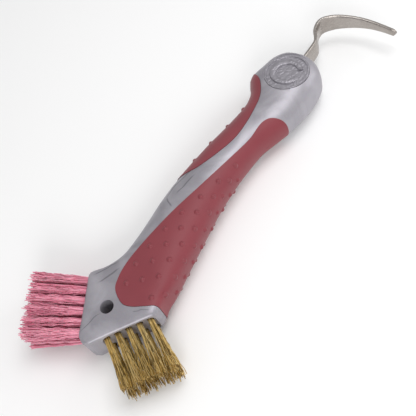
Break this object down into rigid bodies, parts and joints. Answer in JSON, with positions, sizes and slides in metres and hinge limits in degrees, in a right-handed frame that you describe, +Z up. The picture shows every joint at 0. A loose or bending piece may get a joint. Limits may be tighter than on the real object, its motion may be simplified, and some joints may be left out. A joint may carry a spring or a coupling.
{
  "type": "hoof pick",
  "caption": "Hoof pick with a bent steel hook, a contoured two-material handle, a hang hole and a head that carries a nylon brush and a brass wire brush.",
  "frame": {"origin": "centre of the bounding box's underside, on the surface that the pick lies on", "axes": "+X along the handle from the brush head to the hook, +Y towards the nylon brush in the plane of the hook's bend, +Z up through the badge"},
  "size_m": [0.2312, 0.0898, 0.023],
  "materials": {
    "silver_plastic": "satin moulded plastic with silver pigment",
    "wine_red_rubber": "matt thermoplastic elastomer",
    "hook_steel": "tumbled bent strip",
    "badge_alloy": "satin die cast",
    "pink_nylon": "crimped bristle",
    "brass_wire": "crimped wire",
    "anchor_steel": "flat staple wire"
  },
  "bodies": {
    "root": {"handle_body": "silver_plastic", "main_grip": "wine_red_rubber", "thumb_grip": "wine_red_rubber", "steel_hook": "hook_steel", "horseshoe_badge": "badge_alloy", "nylon_tuft_01": "pink_nylon", "nylon_tuft_02": "pink_nylon", "nylon_tuft_03": "pink_nylon", "nylon_tuft_04": "pink_nylon", "nylon_tuft_05": "pink_nylon", "nylon_tuft_06": "pink_nylon", "nylon_tuft_07": "pink_nylon", "nylon_tuft_08": "pink_nylon", "nylon_tuft_09": "pink_nylon", "nylon_tuft_10": "pink_nylon", "nylon_tuft_11": "pink_nylon", "nylon_tuft_12": "pink_nylon", "brass_tuft_01": "brass_wire", "brass_tuft_02": "brass_wire", "brass_tuft_03": "brass_wire", "brass_tuft_04": "brass_wire", "brass_tuft_05": "brass_wire", "brass_tuft_06": "brass_wire", "brass_tuft_07": "brass_wire", "brass_tuft_08": "brass_wire", "brass_tuft_09": "brass_wire", "brass_tuft_10": "brass_wire", "nylon_anchor_01": "anchor_steel", "nylon_anchor_02": "anchor_steel", "nylon_anchor_03": "anchor_steel", "nylon_anchor_04": "anchor_steel", "nylon_anchor_05": "anchor_steel", "nylon_anchor_06": "anchor_steel", "nylon_anchor_07": "anchor_steel", "nylon_anchor_08": "anchor_steel", "nylon_anchor_09": "anchor_steel", "nylon_anchor_10": "anchor_steel", "nylon_anchor_11": "anchor_steel", "nylon_anchor_12": "anchor_steel", "brass_anchor_01": "anchor_steel", "brass_anchor_02": "anchor_steel", "brass_anchor_03": "anchor_steel", "brass_anchor_04": "anchor_steel", "brass_anchor_05": "anchor_steel", "brass_anchor_06": "anchor_steel", "brass_anchor_07": "anchor_steel", "brass_anchor_08": "anchor_steel", "brass_anchor_09": "anchor_steel", "brass_anchor_10": "anchor_steel"}
  },
  "joints": []
}
